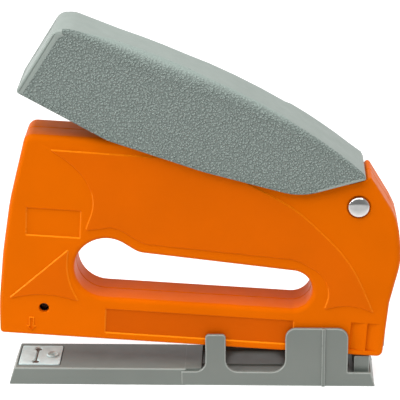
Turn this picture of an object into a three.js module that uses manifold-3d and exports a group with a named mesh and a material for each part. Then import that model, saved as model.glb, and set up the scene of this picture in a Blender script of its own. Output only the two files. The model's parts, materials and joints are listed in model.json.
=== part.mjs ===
// Hand staple gun with a clip-on stapling base.
// Millimetres. Origin under the middle of the whole tool, on the surface it stands on.
// +X points to the handle's pivot, -X to the nose, +Z up, -Y is the tool's left side.
import * as THREE from "three";
import { mergeVertices } from "three/addons/utils/BufferGeometryUtils.js";
import Module from "manifold-3d";

const wasm = await Module();
wasm.setup();

// ---------- driving dimensions ----------

const GAP = 0.3; // running clearance between neighbouring pieces
const SEAM_HALF = 0.15; // each half shell stops this far from the middle plane

// Stapling base, drawn in the tool's own frame.
const BASE_HALF = 12.9;
const CRADLE_HALF = 11.35;
const CRADLE_FLOOR = 4.6;
const ARM_TOP = 7;
const WALL_TOP = 6.1;
const CRADLE_START = -6.7;

// Gun body, drawn in its own frame: s runs back from the nose corner along the
// bottom edge, h rises square to it. The whole body leans back on the base.
const BODY_TILT = 3.6;
const NOSE_CORNER = [-80.285, 22.8];
const BODY_HALF = 11;
const BODY_WALL = 2.2;
const RELIEF = 0.4;

// Joint centres and stations in body coordinates [s, h].
const BASE_HINGE = [130.4, 5];
const HANDLE_PIVOT = [139.8, 63.1];
const LIFT_PIVOT = [52, 59];
const LIFT_SWING = 12; // the lift lever rests this many degrees nose-down
const ROLLER = [84.4, 72];
const DRIVER_S = 12;

// Handle.
const HANDLE_HALF = 13.8;
const SKIRT_INNER = 11.75;
const HANDLE_WALL = 2.3;

// Magazine, all heights above the body's bottom edge.
const TUNNEL = { half: 8, low: 1.6, high: 9.5 };
const STAPLE = { half: 6.4, wire: 0.6, low: 1.95, high: 8.4, front: 12.75, back: 62 };
const RAIL = { half: 5.3, low: 2, high: 7.5, front: 15.2, back: 147 };
const CAP = { front: 147.4, back: 155.1 };

const COLOURS = {
  orange: { color: 0xe0620c, roughness: 0.42, metalness: 0 },
  handle: { color: 0x808a82, roughness: 0.6, metalness: 0 },
  base: { color: 0x76807a, roughness: 0.55, metalness: 0 },
  dark: { color: 0x2c2e2f, roughness: 0.6, metalness: 0 },
  steel: { color: 0xb9bcbc, roughness: 0.35, metalness: 0.9 },
  chrome: { color: 0xe6e8ea, roughness: 0.08, metalness: 1 },
};

// ---------- small geometry kit ----------

// Turns a corner list [x, y, radius] into a closed outline with rounded corners.
function roundedOutline(corners, stepDegrees = 18) {
  const points = [];
  const count = corners.length;
  corners.forEach(([x, y, radius], i) => {
    const here = new THREE.Vector2(x, y);
    const before = new THREE.Vector2(...corners[(i + count - 1) % count].slice(0, 2)).sub(here);
    const after = new THREE.Vector2(...corners[(i + 1) % count].slice(0, 2)).sub(here);
    const inLength = before.length();
    const outLength = after.length();
    before.normalize();
    after.normalize();
    const opening = Math.acos(THREE.MathUtils.clamp(before.dot(after), -1, 1));
    const turn = Math.PI - opening;
    if (!radius || turn < 1e-3) {
      points.push(here);
      return;
    }
    const wanted = radius * Math.tan(turn / 2);
    const tangent = Math.min(wanted, 0.48 * inLength, 0.48 * outLength);
    const start = here.clone().addScaledVector(before, tangent);
    const end = here.clone().addScaledVector(after, tangent);
    const steps = Math.max(1, Math.round(THREE.MathUtils.radToDeg(turn) / stepDegrees));
    const curve = new THREE.QuadraticBezierCurve(start, here, end);
    const half = Math.tan(opening / 2);
    const rounded = tangent * half;
    const centre = before.clone().add(after).normalize();
    centre.multiplyScalar(Math.hypot(tangent, rounded)).add(here);
    for (let k = 0; k <= steps; k += 1) {
      const point = curve.getPoint(k / steps).sub(centre).setLength(rounded).add(centre);
      points.push(point);
    }
  });
  return points;
}

// Moves every edge of a corner list inwards and adjusts each corner's radius.
function inset(corners, distance) {
  const count = corners.length;
  const area = corners.reduce((sum, [x, y], i) => {
    const [nextX, nextY] = corners[(i + 1) % count];
    return sum + x * nextY - nextX * y;
  }, 0);
  const side = Math.sign(area);
  return corners.map(([x, y, radius], i) => {
    const [px, py] = corners[(i + count - 1) % count];
    const [nx, ny] = corners[(i + 1) % count];
    const into = new THREE.Vector2(x - px, y - py).normalize();
    const out = new THREE.Vector2(nx - x, ny - y).normalize();
    const normalIn = new THREE.Vector2(-into.y, into.x).multiplyScalar(side);
    const normalOut = new THREE.Vector2(-out.y, out.x).multiplyScalar(side);
    const miter = normalIn.clone().add(normalOut).normalize();
    const reach = distance / miter.dot(normalIn);
    const convex = side * (into.x * out.y - into.y * out.x) > 0;
    const newRadius = Math.max(radius + (convex ? -distance : distance), 0);
    return [x + miter.x * reach, y + miter.y * reach, newRadius];
  });
}

// Extrudes an outline in the X-Z plane between two Y values.
function slab(outline, yFrom, yTo) {
  const geometry = new THREE.ExtrudeGeometry(new THREE.Shape(outline), {
    depth: yTo - yFrom,
    bevelEnabled: false,
  });
  geometry.rotateX(Math.PI / 2);
  return geometry.translate(0, yTo, 0);
}

function plate(corners, yFrom, yTo) {
  return slab(roundedOutline(corners), yFrom, yTo);
}

function block([x0, x1], [y0, y1], [z0, z1]) {
  const geometry = new THREE.BoxGeometry(x1 - x0, y1 - y0, z1 - z0);
  return geometry.translate((x0 + x1) / 2, (y0 + y1) / 2, (z0 + z1) / 2);
}

// Two distances from the middle plane, turned into ordered Y values for one side of it.
function span(side, inner, outer) {
  return side < 0 ? [-outer, -inner] : [inner, outer];
}

// A cylinder across the tool, along Y, centred on [x, z].
function cross([x, z], radius, yFrom, yTo, sides = 20) {
  const geometry = new THREE.CylinderGeometry(radius, radius, yTo - yFrom, sides);
  return geometry.translate(x, (yFrom + yTo) / 2, z);
}

// A turned piece across the tool: profile of [radius, y], centred on [x, z].
function turnedAcross([x, z], profile, sides = 24) {
  const points = profile.map(([radius, y]) => new THREE.Vector2(radius, y));
  return new THREE.LatheGeometry(points, sides).translate(x, 0, z);
}

// A turned piece standing up: profile of [radius, z], centred on [x, y].
function turnedUpright([x, y], profile, sides = 24) {
  const points = profile.map(([radius, z]) => new THREE.Vector2(radius, z));
  return new THREE.LatheGeometry(points, sides).rotateX(Math.PI / 2).translate(x, y, 0);
}

// A helix that starts at the origin's height and rises along Z.
class HelixCurve extends THREE.Curve {
  constructor(radius, height, turns) {
    super();
    Object.assign(this, { radius, height, turns });
  }
  getPoint(t, target = new THREE.Vector3()) {
    const angle = 2 * Math.PI * this.turns * t;
    const across = this.radius * Math.cos(angle);
    return target.set(across, this.radius * Math.sin(angle), this.height * t);
  }
}

// Points of a circle, for sections that need few sides.
function circlePoints(radius, sides) {
  return Array.from({ length: sides }, (_, k) => {
    const angle = (2 * Math.PI * k) / sides;
    return new THREE.Vector2(radius * Math.cos(angle), radius * Math.sin(angle));
  });
}

// A coil spring standing on the X-Y plane, its turns rising along Z.
function coil({ radius, wire, height, turns, stepsPerTurn = 12, sides = 6 }) {
  return new THREE.ExtrudeGeometry(new THREE.Shape(circlePoints(wire / 2, sides)), {
    steps: turns * stepsPerTurn,
    extrudePath: new HelixCurve(radius, height, turns),
  });
}

function solid(geometry) {
  const bare = geometry.clone();
  bare.deleteAttribute("normal");
  bare.deleteAttribute("uv");
  const merged = mergeVertices(bare, 1e-4);
  const mesh = new wasm.Mesh({
    numProp: 3,
    vertProperties: merged.attributes.position.array,
    triVerts: new Uint32Array(merged.index.array),
  });
  return new wasm.Manifold(mesh);
}

function geometryOf(manifold) {
  const mesh = manifold.getMesh();
  const geometry = new THREE.BufferGeometry();
  geometry.setAttribute("position", new THREE.BufferAttribute(mesh.vertProperties, 3));
  geometry.setIndex(new THREE.BufferAttribute(mesh.triVerts, 1));
  const flat = geometry.toNonIndexed();
  flat.computeVertexNormals();
  return flat;
}

// Joins the first list of geometries and cuts the second list away.
function carve(joined, cuts = []) {
  const whole = joined.map(solid).reduce((a, b) => a.add(b));
  return geometryOf(cuts.map(solid).reduce((a, b) => a.subtract(b), whole));
}

function piece(name, colour, geometry) {
  const material = new THREE.MeshStandardMaterial(COLOURS[colour]);
  const mesh = new THREE.Mesh(geometry, material);
  mesh.name = name;
  return mesh;
}

function group(...children) {
  const made = new THREE.Group();
  made.add(...children);
  return made;
}

// ---------- stapling base ----------

const ANVIL = { x: -65.4, length: 16.8, half: 9, seat: 5.9, bottom: 6.2, top: 7.2 };
const POCKET_X = -67;
const POCKET_REACH = 6.4; // half the crown of a staple
const ANVIL_RIVET_X = -60.6;

// Side view of the base: front arm, low cradle walls, guide tab and hinge tab.
const BASE_PROFILE = [
  [-77.4, 0, 0.5],
  [71.2, 0, 0.4],
  [69.4, WALL_TOP, 0.5],
  [60, WALL_TOP, 0.3],
  [60, 25.4, 4.2],
  [34.8, 25.4, 4.2],
  [34.8, WALL_TOP, 5.4],
  [10.8, WALL_TOP, 5],
  [10.8, 22.4, 1.2],
  [2.6, 22.4, 1.2],
  [2.6, WALL_TOP, 4.2],
  [CRADLE_START, WALL_TOP, 0],
  [CRADLE_START, ARM_TOP, 0],
  [-75.2, ARM_TOP, 0.5],
];
const ARM_END = 1; // the arm's flat top runs on between the walls as far as here
const REST_BLOCK = { x: [62.6, 68.8], half: 10, top: 12.3 };
const GUIDE_RAIL = { x: [-3, 61], half: 3, top: CRADLE_FLOOR + 0.5 };
const HINGE_RIB = { half: 0.7, depth: 0.6, top: 25.4 };
const TRUNNION = { radius: 2.2, depth: 1.5 };

function baseHinge() {
  const tilt = THREE.MathUtils.degToRad(BODY_TILT);
  const [s, h] = BASE_HINGE;
  const x = NOSE_CORNER[0] + s * Math.cos(tilt) + h * Math.sin(tilt);
  const z = NOSE_CORNER[1] - s * Math.sin(tilt) + h * Math.cos(tilt);
  return [x, z];
}

function baseCradle() {
  const hinge = baseHinge();
  const inside = [-CRADLE_HALF, CRADLE_HALF];
  const walls = carve(
    [plate(BASE_PROFILE, -BASE_HALF, BASE_HALF)],
    [block([CRADLE_START, 80], inside, [CRADLE_FLOOR, 40])],
  );
  const joined = [
    walls,
    block([CRADLE_START - 1, ARM_END], inside, [1, ARM_TOP]),
    block(REST_BLOCK.x, [-REST_BLOCK.half, REST_BLOCK.half], [1, REST_BLOCK.top]),
    block(GUIDE_RAIL.x, [-GUIDE_RAIL.half, GUIDE_RAIL.half], [1, GUIDE_RAIL.top]),
  ];
  const ribX = [hinge[0] - HINGE_RIB.half, hinge[0] + HINGE_RIB.half];
  for (const side of [-1, 1]) {
    const ribY = span(side, BASE_HALF, BASE_HALF + HINGE_RIB.depth);
    const pinY = span(side, CRADLE_HALF - TRUNNION.depth, CRADLE_HALF + 0.5);
    joined.push(block(ribX, ribY, [0, HINGE_RIB.top]));
    joined.push(cross(hinge, TRUNNION.radius, ...pinY));
  }
  const margin = 0.5;
  const seatEnd = ANVIL.length / 2 + margin;
  const seatHalf = ANVIL.half + margin;
  const rivetWell = [[0, -1], [3, -1], [3, 1.8], [1.6, 1.8], [1.6, 9], [0, 9]];
  return carve(joined, [
    block([ANVIL.x - seatEnd, ANVIL.x + seatEnd], [-seatHalf, seatHalf], [ANVIL.seat, 10]),
    turnedUpright([ANVIL_RIVET_X, 0], rivetWell),
  ]);
}

function anvilPlate() {
  const half = ANVIL.length / 2;
  const outline = [
    [ANVIL.x - half, -ANVIL.half, 1],
    [ANVIL.x + half, -ANVIL.half, 1],
    [ANVIL.x + half, ANVIL.half, 1],
    [ANVIL.x - half, ANVIL.half, 1],
  ];
  const sheet = new THREE.ExtrudeGeometry(new THREE.Shape(roundedOutline(outline)), {
    depth: ANVIL.top - ANVIL.bottom,
    bevelEnabled: false,
  }).translate(0, 0, ANVIL.bottom);
  const pocketFloor = ANVIL.top - 0.6;
  const cuts = [-1, 1].map((side) =>
    turnedUpright([POCKET_X, side * POCKET_REACH],
      [[0, pocketFloor], [1, pocketFloor], [1.7, 9], [0, 9]], 16));
  cuts.push(block([POCKET_X - 0.6, POCKET_X + 0.6], [-POCKET_REACH, POCKET_REACH],
    [pocketFloor + 0.1, 9]));
  cuts.push(turnedUpright([ANVIL_RIVET_X, 0], [[0, 5], [1.6, 5], [1.6, 9], [0, 9]], 16));
  return carve([sheet], cuts);
}

// Tubular rivet: domed head with a sunk middle above, a flat collar below.
function anvilRivet() {
  const head = ANVIL.top + 0.1;
  const profile = [[0, 0.6], [2.5, 0.6], [2.5, 1.4], [1.25, 1.4], [1.25, head], [2.4, head],
    [2.3, head + 0.45], [1.5, head + 0.8], [1, head + 0.3], [0, head + 0.3]];
  return turnedUpright([ANVIL_RIVET_X, 0], profile);
}

const BASE_SPRING = { x: 6.7, radius: 3.6, wire: 0.9, foot: CRADLE_FLOOR + 1, height: 10.1, turns: 5 };

function baseSpring() {
  const { radius, wire, height, turns } = BASE_SPRING;
  return coil({ radius, wire, height, turns });
}

function makeBase() {
  const spring = piece("base_spring", "steel", baseSpring());
  spring.position.set(BASE_SPRING.x, 0, BASE_SPRING.foot);
  return group(
    piece("base_cradle", "base", baseCradle()),
    piece("anvil_plate", "steel", anvilPlate()),
    piece("anvil_rivet", "steel", anvilRivet()),
    spring,
  );
}

// ---------- half shells of the gun body ----------

// Side view of the body in [s, h, corner radius].
const BODY_PROFILE = [
  [0, -0.8, 1.6],
  [154.4, -0.8, 2.4],
  [155.4, 22.5, 4],
  [158.8, 42, 24],
  [155.6, 58.5, 24],
  [142.7, 76.8, 1.2],
  [141.9, 74.4, 0.3],
  [135.6, 72.3, 2],
  [112, 79.3, 10],
  [94, 84.2, 12],
  [7.8, 84.2, 3.8],
  [2.4, 56, 60],
  [0.2, 34, 60],
  [-0.7, 12, 60],
];

// Finger hole: a round front end, a narrower slot behind it.
const HOLE = { front: [41.5, 29.9], frontRadius: 12.6, back: [116.1, 25.6], backRadius: 8.2 };
const HOLE_STEP = [[56.5, 37.2], [53.5, 37.9]]; // where the narrow slot meets the round end

function holeOutline(grow = 0) {
  const points = [];
  const arc = ([s, h], radius, from, to, steps) => {
    for (let k = 0; k <= steps; k += 1) {
      const angle = THREE.MathUtils.degToRad(from + ((to - from) * k) / steps);
      const reach = radius + grow;
      points.push(new THREE.Vector2(s + reach * Math.cos(angle), h + reach * Math.sin(angle)));
    }
  };
  arc(HOLE.front, HOLE.frontRadius, 58, 270, 14);
  arc(HOLE.back, HOLE.backRadius, 270, 447, 12);
  for (const [s, h] of HOLE_STEP) points.push(new THREE.Vector2(s, h + grow));
  return points;
}

// Raised smooth panel that sweeps from the nose over the finger hole to the rear.
const PANEL_PROFILE = [
  [17.2, 79, 0.3],
  [30.5, 70.5, 30],
  [37.5, 58, 18],
  [33, 46, 2],
  [44, 48.6, 9],
  [56, 41.6, 6],
  [117, 38.9, 12],
  [132.6, 31, 12],
  [129.4, 19, 1],
  [139, 22.6, 30],
  [148.9, 19, 0.4],
  [139, 40, 60],
  [116, 60.5, 60],
  [84, 76, 20],
  [72, 78.6, 4],
];
const TRIANGLE_PROFILE = [
  [3.2, 14.6, 0.4],
  [17, 18.6, 40],
  [30.3, 15.4, 0.4],
  [24, 25, 30],
  [25.2, 37, 0.4],
];
const SIGN_RECESS = { s: [8.1, 30], h: [42.3, 54.4] };
const LABEL_RECESS = { s: [42, 118.2], h: [1.8, 12.9] };
const GRIP_RAMPS = [[140.3, 146.4], [146.9, 152.2]];
const GRIP_HEIGHT = [1.6, 13.8];
const GRIP_DEPTH = 1.1;
const FRONT_WELL = [16.9, 11.8];
const CASE_SCREWS = [[32, 77.5], [112, 44], [147.6, 30]];
const SCREW = { shank: 1.1, head: 2.2, pilot: 1.4, well: 2.5, boss: 3.2 };
const PIVOT_PIN_RADIUS = 3;
const LIFT_PIN_RADIUS = 2.4;
const ROOF_SLOT = { s: [60, 141], half: 5.7, h: [66, 95] };
const EXIT_SLOT = { s: [10, 14.7], half: 7.7, h: [-2, 9] };

// A blade-shaped cutter for one grip ramp: deep at its front edge, flush at its back.
function gripCut([front, back], side) {
  const face = side * BODY_HALF;
  const ramp = new THREE.Shape([
    new THREE.Vector2(front, face + side),
    new THREE.Vector2(front, face - side * GRIP_DEPTH),
    new THREE.Vector2(back, face),
    new THREE.Vector2(back, face + side),
  ]);
  const depth = GRIP_HEIGHT[1] - GRIP_HEIGHT[0];
  const cut = new THREE.ExtrudeGeometry(ramp, { depth, bevelEnabled: false });
  return cut.translate(0, 0, GRIP_HEIGHT[0]);
}

// Outer wall of one half shell, with the rim round the finger hole and the raised panels.
function shellWalls(side) {
  const wallFace = BODY_HALF - BODY_WALL;
  const through = slab(holeOutline(), ...span(side, -1, BODY_HALF + 1));
  const rim = slab(holeOutline(BODY_WALL), ...span(side, SEAM_HALF, BODY_HALF));
  const hollow = plate(inset(BODY_PROFILE, BODY_WALL), ...span(side, SEAM_HALF - 1, wallFace));
  const shell = carve([plate(BODY_PROFILE, ...span(side, SEAM_HALF, BODY_HALF))], [hollow]);
  const raised = [PANEL_PROFILE, TRIANGLE_PROFILE].map((profile) =>
    plate(profile, ...span(side, wallFace + 1, BODY_HALF + RELIEF)));
  return carve([shell, rim, ...raised], [through]);
}

// Screw bosses, bearings for the pins, and the ribs that hold the nose guide.
function shellBosses(side) {
  const root = BODY_HALF - BODY_WALL + 1;
  const boss = (at, radius, inner) => cross(at, radius, ...span(side, inner, root));
  return [
    ...CASE_SCREWS.map((at) => boss(at, SCREW.boss, SEAM_HALF)),
    boss(FRONT_WELL, 2.4, SEAM_HALF),
    boss(LIFT_PIVOT, LIFT_PIN_RADIUS + 2.2, 5),
    boss(HANDLE_PIVOT, PIVOT_PIN_RADIUS + 2.2, 6.2),
    ...[11, 30].map((h) => block([0.6, 9.8], span(side, SEAM_HALF, root), [h, h + 1.6])),
  ];
}

// Hole for a case screw in one shell: a head well on the entry side, a pilot on the other.
function screwHoles(at, side, entry) {
  if (!entry) return [cross(at, SCREW.pilot, ...span(side, -1, 8.2), 12)];
  const wellRadius = at === FRONT_WELL ? 2 : SCREW.well;
  return [
    cross(at, SCREW.pilot, ...span(side, -1, 7), 12),
    cross(at, wellRadius, ...span(side, 6, BODY_HALF + 1)),
  ];
}

// Tunnel, slots, bearings, hinge socket, sunk recesses and screw holes of one half shell.
function shellCuts(side) {
  const outside = BODY_HALF + 1;
  const socket = span(side, CRADLE_HALF - TRUNNION.depth - GAP, outside);
  const recess = span(side, BODY_HALF - RELIEF, outside);
  const leftSide = side < 0;
  return [
    block([14.6, 165], span(side, -1, TUNNEL.half), [TUNNEL.low, TUNNEL.high]),
    block([146.8, 165], span(side, -1, TUNNEL.half), [TUNNEL.low, 13.2]),
    block(EXIT_SLOT.s, span(side, -1, EXIT_SLOT.half), EXIT_SLOT.h),
    block(ROOF_SLOT.s, span(side, -1, ROOF_SLOT.half), ROOF_SLOT.h),
    cross(LIFT_PIVOT, LIFT_PIN_RADIUS + GAP, ...span(side, 0, 9.9)),
    cross(HANDLE_PIVOT, PIVOT_PIN_RADIUS + GAP, ...span(side, 0, outside)),
    cross(BASE_HINGE, TRUNNION.radius + GAP, ...socket),
    block(SIGN_RECESS.s, recess, SIGN_RECESS.h),
    block(LABEL_RECESS.s, recess, LABEL_RECESS.h),
    ...GRIP_RAMPS.map((ramp) => gripCut(ramp, side)),
    ...CASE_SCREWS.flatMap((at) => screwHoles(at, side, !leftSide)),
    ...screwHoles(FRONT_WELL, side, leftSide),
  ];
}

// One half shell: side is -1 for the tool's left and +1 for its right.
function halfShell(side) {
  return carve([shellWalls(side), ...shellBosses(side)], shellCuts(side));
}

// Case screw lying along Y, its head towards the given side.
function caseScrew(at, side, headRadius = SCREW.head) {
  const profile = [[0, -7.6], [SCREW.shank, -7.6], [SCREW.shank, 6.3], [headRadius, 6.3],
    [headRadius - 0.3, 7.4], [0.9, 7.6], [0.9, 6.9], [0, 6.9]];
  const turned = profile.map(([radius, y]) => [radius, y * side]);
  return turnedAcross(at, side < 0 ? turned.reverse() : turned, 14);
}

// ---------- fixed works inside the body ----------

// Steel channel behind the nose that guides the driver.
function noseGuide() {
  const [front, back] = [10.4, 14.1];
  const half = 7.4;
  const sheet = 0.8;
  return carve(
    [block([front, back], [-half, half], [0.4, 46])],
    [
      block([front + sheet, back + 1], [sheet - half, half - sheet], [-1, 50]),
      block([front + 1, back + 1], [-half - 1, half + 1], [8.8, 14.9]),
    ],
  );
}

function magazineChannel() {
  const half = TUNNEL.half - GAP;
  const sheet = 0.6;
  const [low, high] = [TUNNEL.low + 0.2, TUNNEL.high - 0.25];
  return carve(
    [block([15, 146], [-half, half], [low, high])],
    [block([14, 147], [sheet - half, half - sheet], [0, high - sheet])],
  );
}

// Rivet across the body with a dome on each side.
function pivotRivet() {
  const [seat, edge, crown, radius] = [BODY_HALF + 0.15, BODY_HALF + 0.35, 12.9, 4.4];
  const half = [[PIVOT_PIN_RADIUS, seat], [radius, seat]];
  const steps = 4;
  for (let k = 0; k < steps; k += 1) {
    const angle = (k / steps) * (Math.PI / 2);
    half.push([radius * Math.cos(angle), edge + (crown - edge) * Math.sin(angle)]);
  }
  half.push([0, crown]);
  const mirrored = half.map(([reach, y]) => [reach, -y]).reverse();
  return turnedAcross(HANDLE_PIVOT, [...mirrored, ...half], 28);
}

const MAIN_SPRING = { s: 18.4, foot: 58.7, height: 20.9, radius: 4.5, wire: 1.6, turns: 4 };

function mainSpring() {
  const { radius, wire, height, turns } = MAIN_SPRING;
  return coil({ radius, wire, height, turns, stepsPerTurn: 18, sides: 8 });
}

// Cup that holds the top of the main spring under the roof of the body.
function springSeat() {
  const [low, rim, high] = [76.9, 80.7, 81.7];
  const profile = [[0, low], [2.8, low], [2.8, rim], [6.2, rim], [6.2, high], [0, high]];
  return turnedUpright([MAIN_SPRING.s, 0], profile, 20);
}

// ---------- moving works ----------

function driverBlade() {
  const half = STAPLE.half - 0.2;
  const blade = block([DRIVER_S - 0.3, DRIVER_S + 0.3], [-half, half], [0.8, 56.5]);
  return carve([blade], [block([DRIVER_S - 1, DRIVER_S + 1], [-2.6, 2.6], [49, 54.5])]);
}

// Sliding block that carries the driver; its flared slot takes the lift lever's tip.
function driverCarrier() {
  const slot = [[16.4, 49.95, 0], [19.5, 49.95, 0], [25, 47.9, 0], [25, 55.9, 0],
    [19.5, 53.85, 0], [16.4, 53.85, 0]];
  const nose = block([DRIVER_S + 0.5, 16], [-2.3, 2.3], [49.3, 54.2]);
  const slider = block([DRIVER_S + 0.6, 24.6], [-6.5, 6.5], [46.5, 57.5]);
  return carve([slider, nose], [plate(slot, -2.5, 2.5)]);
}

const LIFT_LEVER = [[-34, -1.6, 0.6], [-12, -3, 4], [12, -2.6, 4], [38, -2.4, 1.5],
  [38, 2.4, 1.5], [12, 2.6, 4], [-12, 3, 4], [-34, 1.6, 0.6]];

// Two-armed lever drawn flat about its own pin, pointing along X.
function liftLever() {
  return carve(
    [
      plate(LIFT_LEVER, -2, 2),
      cross([-34, 0], 1.6, -2, 2, 16),
      cross([0, 0], 5, -4.6, 4.6, 24),
    ],
    [cross([0, 0], LIFT_PIN_RADIUS + GAP, -6, 6)],
  );
}

function stapleStrip() {
  const { half, wire, low, high, front, back } = STAPLE;
  return carve(
    [block([front, back], [-half, half], [low, high])],
    [block([front - 1, back + 1], [wire - half, half - wire], [low - 1, high - wire])],
  );
}

function feedRail() {
  const { half, low, high, front, back } = RAIL;
  const sheet = 0.6;
  return carve(
    [block([front, back], [-half, half], [low, high])],
    [
      block([front - 1, back + 1], [sheet - half, half - sheet], [low - 1, high - sheet]),
      block([front + 46, back - 30], [-1.6, 1.6], [low, high + 1]),
    ],
  );
}

const PUSHER = { front: 62.4, back: 72, half: 6.7, high: 8.35 };
const ROD_AXIS = 4.3;

// Saddle over the rail with a foot through the rail's slot onto the guide rod.
function pusher() {
  const { front, back, half, high } = PUSHER;
  const clear = RAIL.half + GAP;
  const saddle = carve(
    [block([front, back], [-half, half], [2.2, high])],
    [block([front - 1, back + 1], [-clear, clear], [0, RAIL.high + GAP])],
  );
  const neck = block([front + 0.4, back - 2], [-1.2, 1.2], [RAIL.low + 0.6, high - 0.2]);
  const bore = new THREE.CylinderGeometry(0.8, 0.8, 20, 12).rotateZ(Math.PI / 2);
  return carve([saddle, neck], [bore.translate((front + back) / 2, 0, ROD_AXIS)]);
}

function guideRod() {
  const [front, back] = [60.5, 147];
  const rod = new THREE.CylinderGeometry(0.5, 0.5, back - front, 10).rotateZ(Math.PI / 2);
  return rod.translate((front + back) / 2, 0, ROD_AXIS);
}

const PUSHER_SPRING = { front: 70.4, back: 146.6, radius: 1.6, wire: 0.5, turns: 16 };

function pusherSpring() {
  const { front, back, radius, wire, turns } = PUSHER_SPRING;
  const shape = { radius, wire, turns, height: back - front, stepsPerTurn: 9, sides: 4 };
  return coil(shape);
}

function magazineCap() {
  const grip = block([CAP.back - 1.4, CAP.back + 1], [-5, 5], [4.6, 9.4]);
  return carve([block([CAP.front, CAP.back], [-7.6, 7.6], [1.9, 12.8])], [grip]);
}

// ---------- handle ----------

// Side view of the handle, open, in body coordinates [s, h, corner radius].
const HANDLE_PROFILE = [
  [4, 102.2, 1.4],
  [40, 84.9, 14],
  [78, 74.4, 80],
  [116.5, 66.6, 26],
  [141.8, 75.4, 0.8],
  [140.4, 77.8, 0.6],
  [124, 89.7, 200],
  [93.9, 105.5, 280],
  [55.1, 120.2, 300],
  [23.4, 128.6, 7],
  [18, 127.7, 2.4],
];
// The same side view with its open underside carried well below the skirts.
const HANDLE_HOLLOW = [
  [-13.6, 70, 0],
  [141.9, 45, 0],
  ...HANDLE_PROFILE.slice(5, 9),
  [23.6, 128.1, 3],
  [18.3, 127.4, 1],
];
const END_RECESS = 0.9;

// A band along the handle's sloping front end: how far it keeps from the slope's two
// ends, and its two depths below the surface.
function handleEndBand(margin, outer, inner) {
  const foot = new THREE.Vector2(...HANDLE_PROFILE[0].slice(0, 2));
  const top = new THREE.Vector2(...HANDLE_PROFILE.at(-1).slice(0, 2));
  const along = top.clone().sub(foot).normalize();
  const inward = new THREE.Vector2(along.y, -along.x);
  const corner = (start, distance, depth) => {
    const at = start.clone().addScaledVector(along, distance).addScaledVector(inward, depth);
    return [at.x, at.y, 0];
  };
  return [corner(foot, margin, outer), corner(foot, margin, inner),
    corner(top, -margin, inner), corner(top, -margin, outer)];
}

function handleShell() {
  return carve(
    [plate(HANDLE_PROFILE, -HANDLE_HALF, HANDLE_HALF)],
    [
      plate(inset(HANDLE_HOLLOW, HANDLE_WALL), -SKIRT_INNER, SKIRT_INNER),
      plate(handleEndBand(2.2, -3, END_RECESS), -10.6, 10.6),
    ],
  );
}

function handleEndCap() {
  return plate(handleEndBand(2.2 + GAP, 0.15, END_RECESS - 0.15), -10.6 + GAP, 10.6 - GAP);
}

// Steel channel under the handle: pivots on the rivet and carries the roller.
const LEVER_REGION = [
  [134.4, 57.4, 4],
  [145.4, 58.6, 4.4],
  [144.2, 69.4, 3],
  [136.6, 75.4, 2],
  [120, 92, 0],
  [90, 125, 0],
  [70.5, 125, 0],
  [70.5, 98, 2],
  [78, 91, 8],
  [80.2, 68.6, 3.6],
  [88.6, 68.6, 3.6],
  [90, 82, 8],
  [118, 74, 14],
];

function handleLever() {
  const clear = HANDLE_WALL + 0.4;
  const sheet = 1.6;
  const [outerHalf, innerHalf] = [5.2, 3.6];
  const underRoof = solid(plate(inset(HANDLE_HOLLOW, clear), -outerHalf, outerHalf));
  const region = solid(plate(LEVER_REGION, -outerHalf, outerHalf));
  const trough = plate(inset(HANDLE_HOLLOW, clear + sheet), -innerHalf, innerHalf);
  return carve(
    [geometryOf(underRoof.intersect(region))],
    [
      trough,
      block([126, 150], [-innerHalf, innerHalf], [50, 90]),
      cross(HANDLE_PIVOT, PIVOT_PIN_RADIUS + GAP, -8, 8),
      cross(ROLLER, 1.3, -8, 8, 16),
    ],
  );
}

function roller() {
  const half = 3.2;
  return turnedAcross(ROLLER, [[1.4, -half], [3, -half], [3, half], [1.4, half], [1.4, -half]], 20);
}

function rollerPin() {
  return cross(ROLLER, 1, -5.6, 5.6, 14);
}

function pivotBush() {
  const [bore, wall, half] = [PIVOT_PIN_RADIUS + GAP, PIVOT_PIN_RADIUS + 1.6, 3.2];
  return turnedAcross(HANDLE_PIVOT,
    [[bore, -half], [wall, -half], [wall, half], [bore, half], [bore, -half]], 20);
}

// ---------- assembly ----------

function makeFixedWorks() {
  const screws = CASE_SCREWS.map((at, i) =>
    piece(`case_screw_${i + 1}`, "steel", caseScrew(at, 1)));
  const spring = piece("main_spring", "steel", mainSpring());
  spring.position.set(MAIN_SPRING.s, 0, MAIN_SPRING.foot);
  return group(
    piece("left_shell", "orange", halfShell(-1)),
    piece("right_shell", "orange", halfShell(1)),
    piece("nose_guide", "steel", noseGuide()),
    piece("magazine_channel", "steel", magazineChannel()),
    piece("pivot_rivet", "chrome", pivotRivet()),
    piece("lift_pin", "steel", cross(LIFT_PIVOT, LIFT_PIN_RADIUS, -9.5, 9.5)),
    piece("spring_seat", "dark", springSeat()),
    piece("front_case_screw", "steel", caseScrew(FRONT_WELL, -1, 1.7)),
    ...screws,
    spring,
  );
}

function makeDriver() {
  const lever = piece("lift_lever", "steel", liftLever());
  lever.position.set(LIFT_PIVOT[0], 0, LIFT_PIVOT[1]);
  lever.rotation.y = THREE.MathUtils.degToRad(-LIFT_SWING);
  return group(
    lever,
    piece("driver_blade", "steel", driverBlade()),
    piece("driver_carrier", "dark", driverCarrier()),
  );
}

function makeMagazine() {
  const spring = piece("pusher_spring", "steel", pusherSpring());
  spring.rotation.y = Math.PI / 2;
  spring.position.set(PUSHER_SPRING.front, 0, ROD_AXIS);
  return group(
    piece("feed_rail", "steel", feedRail()),
    piece("staple_strip", "steel", stapleStrip()),
    piece("pusher", "dark", pusher()),
    piece("guide_rod", "steel", guideRod()),
    piece("magazine_cap", "dark", magazineCap()),
    spring,
  );
}

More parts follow.
